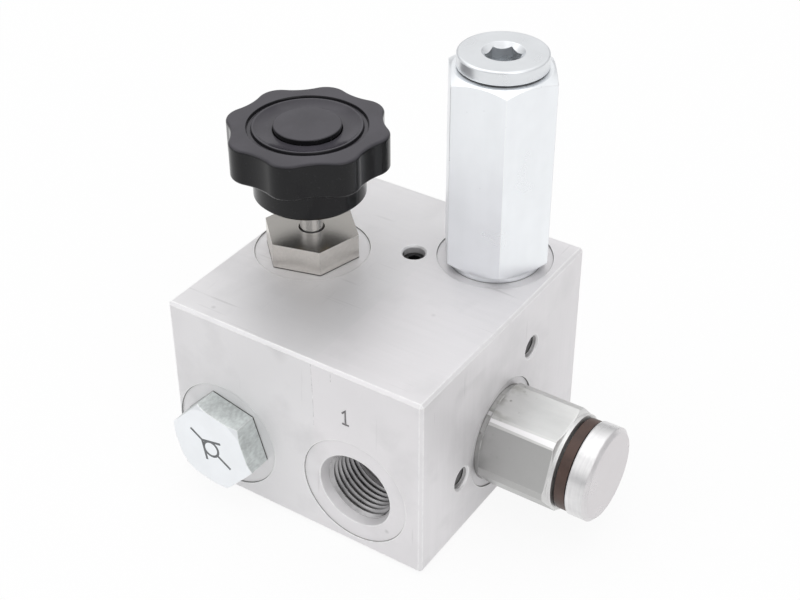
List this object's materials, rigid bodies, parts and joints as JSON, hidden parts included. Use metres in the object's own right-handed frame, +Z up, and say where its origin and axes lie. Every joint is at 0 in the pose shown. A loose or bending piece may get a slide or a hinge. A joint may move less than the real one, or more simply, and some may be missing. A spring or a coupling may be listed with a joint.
{
  "type": "hydraulic manifold",
  "caption": "Machined aluminium manifold block with a check valve, a knob-operated needle valve, a tall relief valve, a flow regulator and threaded ports.",
  "frame": {"origin": "centre of the block's bottom face, which it rests on and is bolted down by", "axes": "+Z up through the needle and relief valves, -Y out of the front face with the check valve and the work port, +X out of the face with the flow regulator"},
  "size_m": [0.1098, 0.0848, 0.111],
  "materials": {
    "block": "milled and lightly brushed, edges broken bright",
    "zinc_steel": "bright zinc plate",
    "nickel_steel": "warm grey nickel plate",
    "satin_steel": "satin machined",
    "stem_steel": "ground and polished",
    "plug_steel": "turned, bright zinc plate",
    "hard_steel": "hardened and ground",
    "spring_steel": "drawn spring wire",
    "black_steel": "black oxide",
    "cap_aluminium": "turned bright",
    "knob_plastic": "glossy black moulding",
    "bush_brass": "turned",
    "seal_rubber": "matt",
    "ring_rubber": "satin brown"
  },
  "bodies": {
    "manifold": {"manifold_block": "block", "construction_plugs": "black_steel", "check_valve_body": "zinc_steel", "check_valve_cage": "hard_steel", "check_valve_spring": "spring_steel", "check_valve_head_seal": "seal_rubber", "check_valve_nose_seal": "seal_rubber", "needle_valve_body": "nickel_steel", "needle_valve_cage": "hard_steel", "needle_valve_stem_seal": "seal_rubber", "needle_valve_head_seal": "seal_rubber", "needle_valve_nose_seal": "seal_rubber", "relief_valve_housing": "zinc_steel", "relief_valve_cage": "hard_steel", "relief_valve_spring": "spring_steel", "relief_valve_plug": "plug_steel", "relief_valve_plug_seal": "seal_rubber", "relief_valve_head_seal": "seal_rubber", "relief_valve_nose_seal": "seal_rubber", "flow_regulator_body": "satin_steel", "flow_regulator_cage": "hard_steel", "flow_regulator_spring": "spring_steel", "flow_regulator_cap": "cap_aluminium", "flow_regulator_cap_ring": "ring_rubber", "flow_regulator_head_seal": "seal_rubber", "flow_regulator_nose_seal": "seal_rubber"},
    "check_poppet": {"check_valve_poppet": "hard_steel"},
    "needle": {"needle_valve_needle": "hard_steel"},
    "knob": {"needle_valve_spindle": "stem_steel", "needle_valve_knob": "knob_plastic", "needle_valve_knob_bush": "bush_brass", "needle_valve_knob_cover": "knob_plastic"},
    "relief_poppet": {"relief_valve_poppet": "hard_steel"},
    "relief_plate": {"relief_valve_spring_plate": "hard_steel"},
    "relief_screw": {"relief_valve_adjuster": "black_steel"},
    "regulator_spool": {"flow_regulator_spool": "hard_steel"},
    "regulator_plate": {"flow_regulator_spring_plate": "hard_steel"},
    "regulator_screw": {"flow_regulator_adjuster": "black_steel"}
  },
  "joints": [
    {"name": "needle_lift", "type": "slide", "parent": "manifold", "child": "needle", "axis": [0, 0, 1], "range_m": [0, 0.004]},
    {"name": "knob_turn", "type": "hinge", "parent": "needle", "child": "knob", "pos_m": [-0.0216, 0.0002, 0.08], "axis": [0, 0, 1], "range_deg": [0, 1440]},
    {"name": "check_poppet_slide", "type": "slide", "parent": "manifold", "child": "check_poppet", "axis": [0, -1, 0], "range_m": [0, 0.0022], "stiffness_N_per_m": 700, "springref_m": -0.002, "deforming": ["check_valve_spring"]},
    {"name": "relief_poppet_slide", "type": "slide", "parent": "manifold", "child": "relief_poppet", "axis": [0, 0, 1], "range_m": [0, 0.0018], "stiffness_N_per_m": 27000, "springref_m": -0.012, "deforming": ["relief_valve_spring"]},
    {"name": "relief_plate_slide", "type": "slide", "parent": "manifold", "child": "relief_plate", "axis": [0, 0, -1], "range_m": [0, 0.003]},
    {"name": "relief_screw_turn", "type": "hinge", "parent": "relief_plate", "child": "relief_screw", "pos_m": [0.0199, 0.0232, 0.085], "axis": [0, 0, -1], "range_deg": [0, 720]},
    {"name": "regulator_spool_slide", "type": "slide", "parent": "manifold", "child": "regulator_spool", "axis": [1, 0, 0], "range_m": [0, 0.0018], "stiffness_N_per_m": 3600, "springref_m": -0.012, "deforming": ["flow_regulator_spring"]},
    {"name": "regulator_plate_slide", "type": "slide", "parent": "manifold", "child": "regulator_plate", "axis": [-1, 0, 0], "range_m": [0, 0.002]},
    {"name": "regulator_screw_turn", "type": "hinge", "parent": "regulator_plate", "child": "regulator_screw", "pos_m": [0.055, -0.0012, 0.0189], "axis": [-1, 0, 0], "range_deg": [0, 720]}
  ],
  "couplings": [
    {"joint": "needle_lift", "follows": "knob_turn", "m_per_rad": 0.00015915},
    {"joint": "relief_plate_slide", "follows": "relief_screw_turn", "m_per_rad": 0.00023873},
    {"joint": "regulator_plate_slide", "follows": "regulator_screw_turn", "m_per_rad": 0.00015915}
  ]
}
